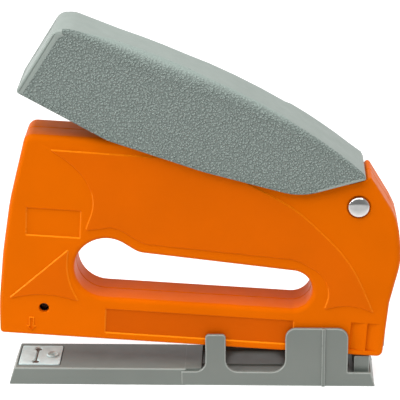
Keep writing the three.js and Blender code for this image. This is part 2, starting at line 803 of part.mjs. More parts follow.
function makeHandle() {
  return group(
    piece("handle_shell", "handle", handleShell()),
    piece("handle_end_cap", "handle", handleEndCap()),
    piece("handle_lever", "steel", handleLever()),
    piece("handle_roller", "steel", roller()),
    piece("roller_pin", "steel", rollerPin()),
    piece("pivot_bush", "steel", pivotBush()),
  );
}

const gun = group(makeFixedWorks(), makeDriver(), makeMagazine(), makeHandle());
gun.position.set(NOSE_CORNER[0], 0, NOSE_CORNER[1]);
gun.rotation.y = THREE.MathUtils.degToRad(BODY_TILT);

const stapleGun = group(makeBase(), gun);

export default stapleGun;
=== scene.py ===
# Hand staple gun: the visible pieces, their finishes, the light and the camera.
# Shapes are drawn in millimetres, in the gun's own frame or in the model's frame. The
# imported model's joints place the gun's frame, and its boxes give the base's sizes.
import json
import math

import bmesh
import bpy
from mathutils import Matrix, Vector


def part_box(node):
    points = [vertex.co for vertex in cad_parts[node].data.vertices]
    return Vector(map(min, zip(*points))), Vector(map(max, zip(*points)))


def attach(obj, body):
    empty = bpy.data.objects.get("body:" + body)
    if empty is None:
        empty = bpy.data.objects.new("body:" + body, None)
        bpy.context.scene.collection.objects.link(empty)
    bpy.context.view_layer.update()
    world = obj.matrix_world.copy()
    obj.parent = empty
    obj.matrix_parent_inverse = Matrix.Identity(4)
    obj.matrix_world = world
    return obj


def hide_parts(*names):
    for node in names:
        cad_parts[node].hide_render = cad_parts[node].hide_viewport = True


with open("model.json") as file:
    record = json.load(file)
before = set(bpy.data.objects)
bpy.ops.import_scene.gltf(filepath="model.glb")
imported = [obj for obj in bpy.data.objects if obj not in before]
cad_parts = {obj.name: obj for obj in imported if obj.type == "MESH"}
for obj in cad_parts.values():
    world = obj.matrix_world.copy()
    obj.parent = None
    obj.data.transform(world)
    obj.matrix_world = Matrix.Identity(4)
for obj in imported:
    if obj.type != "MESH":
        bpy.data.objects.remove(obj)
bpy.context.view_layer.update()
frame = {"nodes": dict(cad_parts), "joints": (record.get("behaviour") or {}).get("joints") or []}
nodes = frame["nodes"]
joints = {joint["name"]: joint for joint in frame["joints"]}

MM = 0.001

# ---------- frames ----------

# The gun's frame: s runs back from the nose corner along the bottom edge, h rises
# square to it, y goes across. Both joints below are (s, h) in it, and the handle's
# pivot fixes where it is.
HANDLE_PIVOT = (139.8, 63.1)
BASE_HINGE = (130.4, 5.0)


def gun_frame():
    """Matrix from the gun's frame in millimetres to the model's frame in metres."""
    rise = Vector(joints["driver_slide"]["axis"])
    back = Vector((rise.z, 0, -rise.x))
    pivot = Vector(joints["handle_hinge"]["pos_m"])
    corner = pivot - (back * HANDLE_PIVOT[0] + rise * HANDLE_PIVOT[1]) * MM
    columns = Matrix((back * MM, Vector((0, MM, 0)), rise * MM)).transposed()
    return Matrix.Translation(corner) @ columns.to_4x4()


GUN = gun_frame()
MODEL = Matrix.Scale(MM, 4)


def box_mm(node):
    """Lowest and highest corner of a CAD node, in millimetres in the model's frame."""
    low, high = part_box(node)
    return low / MM, high / MM


# ---------- driving dimensions, in millimetres ----------

SEAM_HALF = 0.15  # half the gap between the two shells
SEAM_CHAMFER = 0.3
BODY_HALF = 11.0
BODY_WALL = 2.2
RELIEF = 0.55  # height of the raised areas and depth of the sunk ones
HANDLE_HALF = 13.8
SKIRT_INNER = 11.75
RIB_DEPTH = 0.6
BASE_HALF = box_mm("base_cradle")[1].y - RIB_DEPTH
CRADLE_HALF = 11.35
WALL_TOP = 6.1
ARM_TOP = 7.0

# Side views: corners of (s, h, corner radius) and, where an edge is rounded, its rounding.
BODY = [
    (0, -0.8, 1.6, 1.1),
    (154.4, -0.8, 2.4, 1.1),
    (155.4, 22.5, 4, 1.8),
    (158.8, 42, 24, 2.2),
    (155.6, 58.5, 24, 2.2),
    (142.7, 76.8, 1.2, 0.8),
    (141.9, 74.4, 0.3, 0.3),
    (135.6, 72.3, 2, 0.5),
    (112, 79.3, 10, 1.6),
    (94, 84.2, 12, 2.4),
    (7.8, 84.2, 3.8, 2.4),
    (2.4, 56, 60, 2.2),
    (0.2, 34, 60, 2.0),
    (-0.7, 12, 60, 1.6),
]
CAVITY = [
    (2.2, 2.3, 0.3),
    (152, 2.3, 0.6),
    (153, 22.8, 3),
    (156.4, 42, 22),
    (153.4, 57.6, 22),
    (144.6, 70.6, 2),
    (135.6, 70, 2),
    (111.5, 77, 10),
    (93, 82, 10),
    (10.4, 82, 1.6),
    (5, 55.7, 60),
    (2.4, 34, 60),
    (1.6, 12, 60),
]
HOLE = [
    (28.9, 17.3, 12.6, 2.0),
    (124.3, 17.4, 8.2, 2.0),
    (124.3, 33.3, 8.2, 2.0),
    (54.2, 37.4, 9, 2.0),
    (41.9, 44.4, 12.6, 2.0),
    (28.9, 37.1, 12.6, 2.0),
]
PANEL = [
    (17.2, 79, 0.4),
    (30.5, 70.5, 30),
    (36.4, 58.2, 18),
    (32.4, 45.5, 1),
    (44.3, 48, 9),
    (56, 41.6, 6),
    (117, 38.9, 12),
    (132.6, 31, 12),
    (129.2, 17.9, 1),
    (139, 22.2, 30),
    (149.7, 18, 0.5),
    (139, 40, 60),
    (116, 60.5, 60),
    (84, 76, 20),
    (72, 78.6, 4),
]
TRIANGLE = [
    (2.3, 14.2, 0.5),
    (17, 18.4, 40),
    (31.8, 15, 0.5),
    (25.3, 24.8, 30),
    (26.7, 38, 0.5),
]
# Rectangles, from s to s and from h to h.
SIGN_RECESS = (9, 31.1, 42.1, 54.2)
LABEL_RECESS = (42, 118.2, 1.9, 12.9)
GRIP_RAMPS = ((140.8, 146.9), (147.4, 152.6))  # from s to s
GRIP_HEIGHT = (1.3, 13.6)  # from h to h
GRIP_DEPTH = 1.1
ARROW = [
    (11.5, 7.2, 0.2),
    (11.5, 3.5, 0.2),
    (10.5, 3.5, 0.1),
    (12.6, 0.9, 0.1),
    (14.7, 3.5, 0.1),
    (13.7, 3.5, 0.2),
    (13.7, 7.2, 0.2),
]
FRONT_WELL = (17.4, 11.3)
CASE_SCREWS = ((32, 77.5), (112, 44), (147.6, 30))
HANDLE = [
    (4, 102.2, 1.4, 0.6),
    (40, 84.9, 14, 0.4),
    (78, 74.4, 80, 0.4),
    (116.5, 66.6, 26, 0.4),
    (141.8, 75.4, 0.8, 0.6),
    (140.4, 77.8, 0.6, 0.6),
    (124, 89.7, 200, 2.2),
    (93.9, 105.5, 280, 4.4),
    (55.1, 120.2, 300, 6),
    (23.4, 128.6, 10, 1.4),
    (18, 127.7, 5, 0.9),
]
HANDLE_HOLLOW = [
    (-2.3, 86.1, 0.3),
    (139, 50, 0.3),
    (138, 76, 2),
    (107, 95.6, 60),
    (73.2, 110.3, 50),
    (22.2, 126.2, 2),
    (19.3, 126.1, 1),
]
# The handle's sloping front end runs between its first and its last corner. The edges
# are smooth there and at the tail's lower corner, and grained elsewhere.
SLOPE_ENDS = (0, len(HANDLE) - 1)
TAIL_CORNER = 4
SLOPE_FOOT = Vector((HANDLE[0][0], 0, HANDLE[0][1]))
SLOPE_TOP = Vector((HANDLE[-1][0], 0, HANDLE[-1][1]))
SLOPE_LENGTH = (SLOPE_TOP - SLOPE_FOOT).length
SLOPE_NORMAL = Vector((SLOPE_TOP.z - SLOPE_FOOT.z, SLOPE_FOOT.x - SLOPE_TOP.x)).normalized()
END_RECESS = 0.9  # depth of the recess in the sloping end, which holds the end cap
RIM = 0.3  # smooth rim round the handle's grained sides
SLOPE_RIM = 1.6  # how much wider that rim is along the sloping end

# Side view of the base's walls: corners of (x, z, corner radius, edge rounding).
BASE_WALL = [
    (-7.2, 0, 0.3, 0.45),
    (71.2, 0, 0.4, 0.45),
    (69.4, WALL_TOP, 0.5, 0.45),
    (60, WALL_TOP, 0.5, 0.45),
    (60, 25.4, 4.2, 0.45),
    (34.8, 25.4, 4.2, 0.45),
    (34.8, WALL_TOP, 5.4, 0.45),
    (10.8, WALL_TOP, 5, 0.45),
    (10.8, 22.4, 1.4, 0.45),
    (2.6, 22.4, 1.4, 0.45),
    (2.6, WALL_TOP, 4.2, 0.45),
    (-7.2, WALL_TOP, 0.3, 0.45),
]


# ---------- outlines ----------

SMALLEST_RADIUS = 0.06
ARC_ROOM = 0.999  # most of a side that two neighbouring arcs may take up together


class Outline:
    """A closed outline of corners (x, z, corner radius, edge rounding), drawn with arcs.

    Every ring taken from one outline has the same number of points, so that rings at
    different insets can be joined by strips of faces.
    """

    def __init__(self, corners, step=12):
        self.corners = [Vector(corner[:2]) for corner in corners]
        self.radii = [corner[2] for corner in corners]
        self.rounding = [corner[3] if len(corner) > 3 else 0 for corner in corners]
        self.count = len(corners)
        area = sum(self.at(k).x * self.at(k + 1).y - self.at(k + 1).x * self.at(k).y
                   for k in range(self.count))
        self.hand = 1 if area > 0 else -1
        turns = [math.pi - self.opening(self.corners, k) for k in range(self.count)]
        self.steps = [max(1, round(math.degrees(turn) / step)) for turn in turns]
        self.owner = [k for k in range(self.count) for _ in range(self.steps[k] + 1)]

    def at(self, k):
        return self.corners[k % self.count]

    @staticmethod
    def opening(points, k):
        """Angle between the two sides that meet at a corner."""
        count = len(points)
        before = points[k - 1] - points[k]
        after = points[(k + 1) % count] - points[k]
        return max(before.angle(after), 1e-3)

    def inset(self, share, extra):
        """Corners and radii moved inwards by a share of each rounding, plus extra."""
        corners, radii = [], []
        for k, here in enumerate(self.corners):
            into = (here - self.at(k - 1)).normalized()
            out = (self.at(k + 1) - here).normalized()
            normal = Vector((-into.y, into.x)) * self.hand
            middle = normal + Vector((-out.y, out.x)) * self.hand
            middle.normalize()
            distance = self.rounding[k] * share + extra
            convex = self.hand * (into.x * out.y - into.y * out.x) > 0
            corners.append(here + middle * (distance / middle.dot(normal)))
            radii.append(self.radii[k] - (distance if convex else -distance))
        return corners, [max(radius, SMALLEST_RADIUS) for radius in radii]

    def ring(self, share=0.0, extra=0.0):
        """The outline's points, arc by arc, at an inset."""
        corners, radii = self.inset(share, extra)
        openings = [self.opening(corners, k) for k in range(self.count)]
        reach = [radius / math.tan(opening / 2) for radius, opening in zip(radii, openings)]
        lengths = [(corners[(k + 1) % self.count] - corners[k]).length
                   for k in range(self.count)]
        points = []
        for k, here in enumerate(corners):
            after_room = lengths[k] / (reach[k] + reach[(k + 1) % self.count])
            before_room = lengths[k - 1] / (reach[k] + reach[k - 1])
            tangent = reach[k] * min(1, ARC_ROOM * after_room, ARC_ROOM * before_room)
            radius = tangent * math.tan(openings[k] / 2)
            before = (corners[k - 1] - here).normalized()
            after = (corners[(k + 1) % self.count] - here).normalized()
            centre = here + (before + after).normalized() * math.hypot(tangent, radius)
            start = here + before * tangent - centre
            turn = math.pi - openings[k]
            clockwise = before.x * after.y - before.y * after.x > 0
            for j in range(self.steps[k] + 1):
                angle = turn * j / self.steps[k] * (-1 if clockwise else 1)
                points.append(centre + Matrix.Rotation(angle, 2) @ start)
        return points

    def upward(self):
        """For each point of a ring, how far the stretch before it faces up, from -1 to 1."""
        points = self.ring()
        steps = [points[k] - points[k - 1] for k in range(len(points))]
        return [-self.hand * step.x / max(step.length, 1e-6) for step in steps]


def rectangle(x0, x1, z0, z1, radius, rounding=0.0):
    return Outline([(x0, z0, radius, rounding), (x1, z0, radius, rounding),
                    (x1, z1, radius, rounding), (x0, z1, radius, rounding)])


def circle(centre, radius):
    x, z = centre
    turns = ((-1, -1), (1, -1), (1, 1), (-1, 1))
    return Outline([(x + radius * across, z + radius * up, radius) for across, up in turns], step=9)


# ---------- skins ----------

SIDE_VIEW = Matrix(((1, 0, 0), (0, 0, 1), (0, 1, 0)))  # (s, h) drawn, depth along y
PLAN_VIEW = Matrix.Identity(3)  # (x, y) drawn, depth along z
END_VIEW = Matrix(((0, 0, 1), (1, 0, 0), (0, 1, 0)))  # (y, h) drawn, depth along s


class Skin:
    """A mesh made of rings of points, strips of faces between them and flat fills.

    Its first finish covers it, apart from the strips and fills that name another one.
    """

    def __init__(self, view=SIDE_VIEW, finish=None):
        self.mesh = bmesh.new()
        self.view = view
        self.finishes = [finish] if finish else []

    def slot(self, finish):
        """Material slot of a finish, which gets one when it is first used."""
        if finish is None:
            return 0
        if finish not in self.finishes:
            self.finishes.append(finish)
        return self.finishes.index(finish)

    def ring(self, points, depth):
        """Vertices at one depth, or at a list of depths with one for each point."""
        depths = depth if isinstance(depth, list) else [depth] * len(points)
        return [self.mesh.verts.new(self.view @ Vector((point.x, point.y, d)))
                for point, d in zip(points, depths)]

    def strip(self, first, second, finish=None):
        """Faces between two rings, in one finish or in a list with one for each point."""
        finishes = finish if isinstance(finish, list) else [finish] * len(first)
        for k in range(len(first)):
            face = self.mesh.faces.new((first[k - 1], first[k], second[k], second[k - 1]))
            face.material_index = self.slot(finishes[k])

    def strips(self, rings, finish=None):
        for first, second in zip(rings, rings[1:]):
            self.strip(first, second, finish)

    def fill(self, *rings, finish=None):
        """Flat faces inside the outermost ring, with the other rings as holes in them."""
        edges = []
        for ring in rings:
            for k in range(len(ring)):
                pair = (ring[k - 1], ring[k])
                edges.append(self.mesh.edges.get(pair) or self.mesh.edges.new(pair))
        made = bmesh.ops.triangle_fill(self.mesh, use_beauty=True, edges=edges)
        for item in made["geom"]:
            if isinstance(item, bmesh.types.BMFace):
                item.material_index = self.slot(finish)

    def rounded_edge(self, outline, face, side, inwards=1, steps=6, finish=None):
        """Rings that turn from the outline's wall onto a flat face at that depth.

        side is 1 if the face looks along the depth axis and -1 if it looks against it,
        and inwards is -1 for the edge of a hole.
        """
        rings = []
        for k in range(steps + 1):
            angle = math.pi / 2 * k / steps
            drop = side * (1 - math.sin(angle))
            depths = [face - drop * outline.rounding[corner] for corner in outline.owner]
            points = outline.ring(share=inwards * (1 - math.cos(angle)))
            rings.append(self.ring(points, depths))
        self.strips(rings, finish)
        return rings

    def relief(self, outline, depth, profile, floor=None, edge=None):
        """Steps in from a flat face by (inwards, rise) pairs and fills the last ring.

        The edge finish is a painted highlight, so it is left off the walls that face down,
        where light does not fall. They are the lower ones of a raised area, which rises away
        from depth 0, and otherwise the upper ones.
        """
        rings = [self.ring(outline.ring(extra=inwards), depth + rise)
                 for inwards, rise in profile]
        furthest = max((rise for _, rise in profile), key=abs)
        outwards = 1 if furthest * depth > 0 else -1
        faces_down = -0.3
        wear_and_highlight = [edge if upward * outwards > faces_down else None for upward in outline.upward()]
        self.strips(rings, wear_and_highlight)
        self.fill(rings[-1], finish=floor)
        return rings[0]

    def plate(self, outline, low, high, steps=3, edge=None):
        """A solid between two depths, both its faces rounded at the edges."""
        feet = []
        for depth, side in ((low, -1), (high, 1)):
            rings = self.rounded_edge(outline, depth, side, steps=steps, finish=edge)
            self.fill(rings[-1])
            feet.append(rings[0])
        self.strip(*feet)

    def block(self, outline, bottom, top, steps=3):
        """A block with a rounded top edge; returns the ring round its top, left to be filled."""
        foot = self.ring(outline.ring(), bottom)
        rings = self.rounded_edge(outline, top, 1, steps=steps)
        self.strip(foot, rings[0])
        self.fill(foot)
        return rings[-1]

    def turned(self, centre, profile, sides):
        """A turned solid about the depth axis, its profile (radius, depth) from pole to pole."""
        pole = 0.02
        rings = []
        for radius, depth in profile:
            points = []
            for k in range(sides):
                angle = 2 * math.pi * k / sides
                offset = Vector((math.cos(angle), math.sin(angle))) * max(radius, pole)
                points.append(Vector(centre) + offset)
            rings.append(self.ring(points, depth))
        self.strips(rings)
        self.mesh.faces.new(rings[0])
        self.mesh.faces.new(rings[-1])

    def object(self, name):
        bmesh.ops.recalc_face_normals(self.mesh, faces=self.mesh.faces)
        data = bpy.data.meshes.new(name)
        self.mesh.to_mesh(data)
        self.mesh.free()
        for finish in self.finishes:
            data.materials.append(finish)
        made = bpy.data.objects.new(name, data)
        bpy.context.scene.collection.objects.link(made)
        return made


def bump_profile(rise, width=0.55, steps=5):
    """A soft step of that width: (inwards, rise) pairs along an S-curve."""
    pairs = []
    for k in range(steps + 1):
        share = k / steps
        pairs.append((width * share, rise * share * share * (3 - 2 * share)))
    return pairs


def dome_profile(rim, crown, foot, height, steps):
    """A dome's (radius, depth) pairs, from its rim's radius up to its flat crown's."""
    pairs = []
    for k in range(steps + 1):
        angle = math.pi / 2 * k / steps
        pairs.append((crown + (rim - crown) * math.cos(angle), foot + height * math.sin(angle)))
    return pairs


def cut(made, cutter):
    """Takes a cutter away from an object, and removes the cutter."""
    boolean = made.modifiers.new("cut", "BOOLEAN")
    boolean.operation = "DIFFERENCE"
    boolean.solver = "EXACT"
    boolean.object = cutter
    graph = bpy.context.evaluated_depsgraph_get()
    data = bpy.data.meshes.new_from_object(made.evaluated_get(graph))
    made.modifiers.clear()
    made.data = data
    bpy.data.objects.remove(cutter)


def box_cutter(s_range, y_range, h_range):
    """A box in the gun's frame, each range from low to high."""
    skin = Skin()
    skin.plate(rectangle(*s_range, *h_range, radius=0), *y_range, steps=1)
    return skin.object("cutter")


def place(made, matrix, body, replaced, crease=35):
    """Moves a piece from its drawing frame into the model's, and hands it to a body."""
    data = made.data
    data.transform(matrix)
    data.shade_smooth()
    data.set_sharp_from_angle(angle=math.radians(crease))
    smooth = made.modifiers.new("smooth", "WEIGHTED_NORMAL")
    smooth.keep_sharp = True
    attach(made, body)
    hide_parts(replaced)


# ---------- finishes ----------

# The range that most values of a noise texture fall in.
NOISE_LOW = 0.3
NOISE_HIGH = 0.7


class Finish:
    """A material's node tree, with short helpers for the nodes that a finish needs."""

    def __init__(self, name, colour, roughness, metallic=0.0):
        self.material = bpy.data.materials.new(name)
        self.material.use_nodes = True
        self.tree = self.material.node_tree
        self.shader = self.tree.nodes["Principled BSDF"]
        self.shader.inputs["Base Color"].default_value = (*colour, 1)
        self.shader.inputs["Roughness"].default_value = roughness
        self.shader.inputs["Metallic"].default_value = metallic
        self.colour = colour
        self.place = self.node("ShaderNodeTexCoord").outputs["Object"]
        self.normal = None

    def node(self, kind, **settings):
        made = self.tree.nodes.new(kind)
        for key, value in settings.items():
            setattr(made, key, value)
        return made

    def link(self, output, socket):
        self.tree.links.new(output, socket)

    def stretched(self, scale):
        """Object coordinates scaled along each axis."""
        mapping = self.node("ShaderNodeMapping")
        mapping.inputs["Scale"].default_value = scale
        self.link(self.place, mapping.inputs["Vector"])
        return mapping.outputs["Vector"]

    def noise(self, scale, detail, stretch=None):
        made = self.node("ShaderNodeTexNoise")
        made.inputs["Scale"].default_value = scale
        made.inputs["Detail"].default_value = detail
        source = self.stretched(stretch) if stretch else self.place
        self.link(source, made.inputs["Vector"])
        return made.outputs["Fac"]

    def ranged(self, source, low, high, start=NOISE_LOW, end=NOISE_HIGH):
        """Values from start to end turned into values from low to high."""
        made = self.node("ShaderNodeMapRange")
        for key, value in (("From Min", start), ("From Max", end),
                           ("To Min", low), ("To Max", high)):
            made.inputs[key].default_value = value
        self.link(source, made.inputs["Value"])
        return made.outputs["Result"]

    def vary_roughness(self, source, low, high):
        self.link(self.ranged(source, low, high), self.shader.inputs["Roughness"])

    def vary_colour(self, source, darker, lighter):
        """Base colour between a darker and a lighter share of itself."""
        ramp = self.node("ShaderNodeValToRGB")
        ramp.color_ramp.elements[0].position = NOISE_LOW
        ramp.color_ramp.elements[1].position = NOISE_HIGH
        for element, share in zip(ramp.color_ramp.elements, (darker, lighter)):
            element.color = (*(min(1, part * share) for part in self.colour), 1)
        self.link(source, ramp.inputs["Fac"])
        self.link(ramp.outputs["Color"], self.shader.inputs["Base Color"])

    def bump(self, height, strength, distance):
        """Adds a layer of bumps on top of the layers already there."""
        made = self.node("ShaderNodeBump")
        made.inputs["Strength"].default_value = strength
        made.inputs["Distance"].default_value = distance
        self.link(height, made.inputs["Height"])
        if self.normal:
            self.link(self.normal, made.inputs["Normal"])
        self.normal = made.outputs["Normal"]
        self.link(self.normal, self.shader.inputs["Normal"])


def moulded_plastic(name, colour, roughness, grain, grain_scale=2400, specular=0.5,
                    gloss=(1, 1, 1)):
    """Injection-moulded plastic: fine spark-eroded grain, faint flow marks, tinted gloss."""
    finish = Finish(name, colour, roughness)
    finish.shader.inputs["Specular IOR Level"].default_value = specular
    finish.shader.inputs["Specular Tint"].default_value = (*gloss, 1)
    finish.vary_colour(finish.noise(35, 4), 0.95, 1.04)
    finish.vary_roughness(finish.noise(180, 4), roughness - 0.05, roughness + 0.07)
    finish.bump(finish.noise(grain_scale, 3), grain, 0.00006)
    finish.bump(finish.noise(60, 2), 0.1, 0.0002)
    return finish.material


def leather_plastic(name, colour, roughness):
    """Handle plastic with a pebbled leather grain on its sides, fainter across its top."""
    flat_side = (HANDLE_HALF - 0.1) * MM
    top_begins = (HANDLE_HALF - 3.3) * MM
    top_share = 0.2
    mean_height = 0.85
    warp_reach = 0.0002
    finish = Finish(name, colour, roughness)
    finish.shader.inputs["Specular IOR Level"].default_value = 0.38
    warp = finish.node("ShaderNodeTexNoise")
    warp.inputs["Scale"].default_value = 600
    finish.link(finish.place, warp.inputs["Vector"])
    shift = finish.node("ShaderNodeVectorMath", operation="MULTIPLY_ADD")
    shift.inputs[1].default_value = (warp_reach, warp_reach, warp_reach)
    finish.link(warp.outputs["Color"], shift.inputs[0])
    finish.link(finish.place, shift.inputs[2])
    cells = finish.node("ShaderNodeTexVoronoi", feature="SMOOTH_F1")
    cells.inputs["Scale"].default_value = 1150
    cells.inputs["Smoothness"].default_value = 0.15
    finish.link(shift.outputs["Vector"], cells.inputs["Vector"])
    domes = finish.ranged(cells.outputs["Distance"], 1, 0, 0.1, 0.7)
    split = finish.node("ShaderNodeSeparateXYZ")
    finish.link(finish.place, split.inputs["Vector"])
    across = finish.node("ShaderNodeMath", operation="ABSOLUTE")
    finish.link(split.outputs["Y"], across.inputs[0])
    pebbles = finish.node("ShaderNodeMix")
    share = finish.ranged(across.outputs["Value"], top_share, 1, top_begins, flat_side)
    finish.link(share, pebbles.inputs["Factor"])
    pebbles.inputs["A"].default_value = mean_height
    finish.link(domes, pebbles.inputs["B"])
    finish.bump(pebbles.outputs["Result"], 1.0, 0.0006)
    finish.bump(finish.noise(2600, 2), 0.2, 0.00005)
    # Painted shade and light: the colour is darker in the valleys between pebbles and lighter on
    # their crowns, and the mean height across the handle's top and shoulders makes them lighter
    # too.
    finish.vary_colour(pebbles.outputs["Result"], 0.9, 1.45)
    finish.vary_roughness(finish.noise(300, 3), roughness - 0.06, roughness + 0.06)
    return finish.material


def metal(name, colour, roughness, brushed=(1, 1, 1), scratches=0.15, metallic=1.0):
    """Bare or plated steel: soft stains, and scratches that run along brushed's low axis."""
    finish = Finish(name, colour, roughness, metallic)
    finish.vary_colour(finish.noise(220, 5), 0.82, 1.05)
    finish.vary_roughness(finish.noise(420, 4), roughness * 0.75, roughness * 1.3)
    finish.bump(finish.noise(1500, 3, brushed), scratches, 0.00004)
    return finish.material


AMBER = (1, 0.55, 0.03)  # tint of the orange plastic's gloss
ORANGE = moulded_plastic("orange_plastic", (0.63, 0.114, 0.0003), 0.4, grain=0.12,
                         specular=0.06, gloss=AMBER)
GRAINED_ORANGE = moulded_plastic("grained_orange", (0.6, 0.1, 0.0003), 0.46, grain=1.0,
                                 grain_scale=1300, specular=0.18, gloss=AMBER)
SHADED_ORANGE = moulded_plastic("shaded_orange", (0.52, 0.078, 0.0006), 0.46, grain=1.0,
                                grain_scale=1300, specular=0.18, gloss=AMBER)
# Painted highlight: a lighter, glossier orange for the up-facing walls of raised and sunk areas.
PAINTED_HIGHLIGHT_ORANGE = moulded_plastic("painted_highlight_orange", (0.72, 0.155, 0.001), 0.28, grain=0.1,
                                specular=0.7, gloss=AMBER)
LEATHER_GREY = leather_plastic("leather_grey", (0.168, 0.205, 0.187), 0.32)
SMOOTH_GREY = moulded_plastic("smooth_grey", (0.25, 0.29, 0.265), 0.42, grain=1.0,
                              grain_scale=1300)
BASE_GREY = moulded_plastic("base_grey", (0.134, 0.152, 0.136), 0.33, grain=0.3)
# Painted highlight: a lighter grey for the rounded edges of the base.
PAINTED_HIGHLIGHT_GREY = moulded_plastic("painted_highlight_grey", (0.24, 0.262, 0.24), 0.3, grain=0.2)
DARK = moulded_plastic("dark_plastic", (0.028, 0.029, 0.03), 0.45, grain=0.4)
ZINC = metal("zinc_steel", (0.56, 0.56, 0.54), 0.34, brushed=(0.15, 1, 1))
ANVIL_STEEL = metal("anvil_steel", (0.66, 0.82, 0.82), 0.45, brushed=(1, 0.1, 1),
                    scratches=0.3, metallic=0.2)
GREASY_STEEL = metal("greasy_steel", (0.13, 0.09, 0.07), 0.5, metallic=0.5)
SPRING_STEEL = metal("spring_steel", (0.42, 0.42, 0.42), 0.28)
STAPLE_WIRE = metal("staple_wire", (0.68, 0.68, 0.67), 0.25)
CHROME = metal("chrome", (0.55, 0.55, 0.54), 0.07, scratches=0.05)


# ---------- gun body ----------


def grip_ramp(skin, front, back, side):
    """A finger ramp: deep at its front edge, level with the face at its back."""
    outline = rectangle(front, back, *GRIP_HEIGHT, radius=0.3)
    face = side * BODY_HALF
    draft = 0.15
    points = outline.ring(extra=draft)
    sunk = [face - side * GRIP_DEPTH * (back - draft - point.x) / (back - front)
            for point in points]
    rings = [skin.ring(outline.ring(), face), skin.ring(points, sunk)]
    skin.strips(rings)
    skin.fill(rings[-1])
    return rings[0]


def shell_walls(skin, side):
    """Outer wall, finger hole and cavity; returns the rings round the side face."""
    face = side * BODY_HALF
    seam = side * SEAM_HALF
    chamfered = seam + side * SEAM_CHAMFER
    inner_face = face - side * BODY_WALL
    body, cavity, hole = Outline(BODY), Outline(CAVITY), Outline(HOLE, step=8)

    lip = skin.ring(body.ring(extra=SEAM_CHAMFER), seam)
    foot = skin.ring(body.ring(), chamfered)
    turn = skin.rounded_edge(body, face, side)
    skin.strips([lip, foot, turn[0]])

    hole_lip = skin.ring(hole.ring(extra=-SEAM_CHAMFER), seam)
    hole_foot = skin.ring(hole.ring(), chamfered)
    hole_turn = skin.rounded_edge(hole, face, side, inwards=-1)
    skin.strips([hole_lip, hole_foot, hole_turn[0]])

    cavity_rings = [skin.ring(cavity.ring(), depth) for depth in (seam, inner_face)]
    boss_rings = [skin.ring(hole.ring(extra=-BODY_WALL), depth) for depth in (seam, inner_face)]
    skin.strips(cavity_rings)
    skin.strips(boss_rings)
    skin.fill(lip, cavity_rings[0])
    skin.fill(hole_lip, boss_rings[0])
    skin.fill(cavity_rings[1], boss_rings[1])
    return [turn[-1], hole_turn[-1]]


def side_details(skin, side):
    """Raised, sunk and ramped areas of a side face; returns the rings round them."""
    face = side * BODY_HALF
    raised = bump_profile(side * RELIEF)
    sunk = bump_profile(-side * RELIEF)
    crest = side * 0.45
    raised_line = bump_profile(crest, 0.25, 2) + [(0.4, crest), (0.6, 0)]
    rivet_seat = [(0, 0), (0.1, -side * 0.6)]
    rings = [
        # The up-facing walls of these raised and sunk areas get a painted highlight.
        skin.relief(Outline(PANEL, step=6), face, raised, GRAINED_ORANGE, PAINTED_HIGHLIGHT_ORANGE),
        skin.relief(Outline(TRIANGLE, step=6), face, raised, GRAINED_ORANGE, PAINTED_HIGHLIGHT_ORANGE),
        skin.relief(rectangle(*SIGN_RECESS, 0.6), face, sunk, ORANGE, PAINTED_HIGHLIGHT_ORANGE),
        skin.relief(rectangle(*LABEL_RECESS, 0.8), face, sunk, SHADED_ORANGE, PAINTED_HIGHLIGHT_ORANGE),
        skin.relief(Outline(ARROW), face, raised_line, ORANGE, PAINTED_HIGHLIGHT_ORANGE),
        skin.relief(circle(HANDLE_PIVOT, 4.75), face, rivet_seat),
    ]
    return rings + [grip_ramp(skin, front, back, side) for front, back in GRIP_RAMPS]


def half_shell(side):
    """One half of the body: side is -1 for the tool's left and 1 for its right."""
    skin = Skin(finish=ORANGE)
    edges = shell_walls(skin, side)
    skin.fill(*edges, *side_details(skin, side))
    name = "left_shell" if side < 0 else "right_shell"
    made = skin.object(f"{name}_skin")
    for cutter in shell_cutters(side):
        cut(made, cutter)
    place(made, GUN, "gun_body", name)


def shell_cutters(side):
    """Openings of one half for the magazine, the driver, the lever, the rivet and the screws."""
    inside, outside = side * 6, side * 13
    magazine_tunnel = box_cutter((14.6, 165), (-8, 8), (1.6, 9.5))
    magazine_mouth = box_cutter((146.8, 165), (-8, 8), (1.6, 13.2))
    staple_exit = box_cutter((10, 14.7), (-7.7, 7.7), (-1, 9))
    roof_slot = box_cutter((60, 141), (-5.7, 5.7), (66, 95))
    cutters = [
        magazine_tunnel,
        magazine_mouth,
        staple_exit,
        roof_slot,
        round_cutter(BASE_HINGE, 2.5, side * 9.5, outside),
        round_cutter(HANDLE_PIVOT, 3.3, side * 5, outside),
    ]
    if side < 0:
        cutters.append(round_cutter(FRONT_WELL, 2, inside, outside, lip=0.35))
    else:
        cutters += [round_cutter(at, 2.5, inside, outside, lip=0.3) for at in CASE_SCREWS]
    return cutters


def round_cutter(centre, radius, inner, outer, lip=0.0):
    """A cylinder along y from inside to outside the wall, flared at the face if lip is given."""
    side = 1 if outer > 0 else -1
    face = side * (BODY_HALF + 0.02)
    profile = [(0, inner), (radius, inner)]
    if lip:
        profile += [(radius, face - side * lip), (radius + lip, face)]
    profile += [(radius + lip, outer), (0, outer)]
    skin = Skin()
    skin.turned(centre, profile, 36)
    return skin.object("cutter")


def pivot_rivet():
    """Steel rivet with a polished dome at each end."""
    seat, crown, radius, shank = BODY_HALF + 0.15, 12.9, 4.25, 3.0
    rim, ease = seat + 0.3, 0.12
    half = [(shank, 0), (shank, seat), (radius - ease, seat), (radius, seat + ease)]
    half += dome_profile(radius, 0, rim, crown - rim, 12)
    profile = [(r, -y) for r, y in reversed(half)] + half[1:]
    skin = Skin(finish=CHROME)
    skin.turned(HANDLE_PIVOT, profile, 64)
    place(skin.object("pivot_rivet_skin"), GUN, "gun_body", "pivot_rivet")


